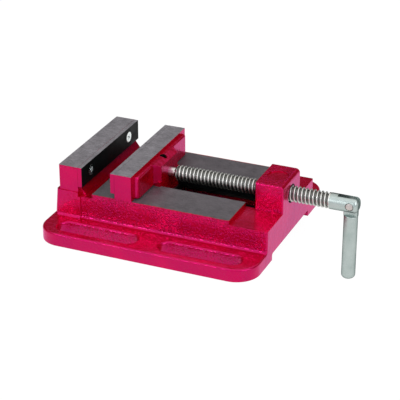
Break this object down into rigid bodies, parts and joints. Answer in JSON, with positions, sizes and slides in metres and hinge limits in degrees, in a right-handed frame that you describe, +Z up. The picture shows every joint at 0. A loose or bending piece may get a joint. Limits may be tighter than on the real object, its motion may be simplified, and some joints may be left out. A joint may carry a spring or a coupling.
{
  "type": "drill-press vise",
  "caption": "Low machine vise with a slotted cast base, a sliding jaw on two ground rails, a trapezoidal screw and a folding bar handle.",
  "frame": {"origin": "middle of the sole, which is the middle of the four foot slots, on the plane of the sole", "axes": "+X along the spindle from the fixed jaw to the handle, +Z up, Y across the jaws"},
  "size_m": [0.2278, 0.164, 0.0753],
  "materials": {
    "red_enamel": "gloss enamel over rough casting, with the rails and jaw tops ground bare",
    "black_plate": "ground and blackened",
    "turned_steel": "bright turned",
    "zinc_plate": "zinc plated, satin",
    "pin_steel": "riveted bright ends",
    "bright_zinc": "bright zinc",
    "dark_steel": "oiled black steel"
  },
  "bodies": {
    "base": {"base_casting": "red_enamel", "fixed_jaw_plate": "black_plate", "fixed_plate_screw_near": "bright_zinc", "fixed_plate_screw_far": "bright_zinc"},
    "sliding_jaw": {"moving_jaw": "red_enamel", "moving_jaw_plate": "black_plate", "moving_plate_screw_near": "bright_zinc", "moving_plate_screw_far": "bright_zinc", "nose_set_screw": "dark_steel", "keeper_plate": "dark_steel", "keeper_screw_near": "dark_steel", "keeper_screw_far": "dark_steel", "keeper_spring_washer_near": "dark_steel", "keeper_spring_washer_far": "dark_steel", "keeper_washer_near": "bright_zinc", "keeper_washer_far": "bright_zinc"},
    "screw": {"spindle": "turned_steel", "handle_pin": "pin_steel"},
    "bar": {"handle": "zinc_plate"}
  },
  "joints": [
    {"name": "jaw_slide", "type": "slide", "parent": "base", "child": "sliding_jaw", "axis": [1, 0, 0], "range_m": [-0.02341, 0.07751]},
    {"name": "spindle_turn", "type": "hinge", "parent": "sliding_jaw", "child": "screw", "pos_m": [-0.0178, 0, 0.0371], "axis": [1, 0, 0], "range_deg": [-2808, 9300]},
    {"name": "handle_fold", "type": "hinge", "parent": "screw", "child": "bar", "pos_m": [0.1343, 0, 0.0371], "axis": [0, -1, 0], "range_deg": [0, 180]}
  ],
  "couplings": [
    {"joint": "jaw_slide", "follows": "spindle_turn", "m_per_rad": 0.00047746}
  ]
}
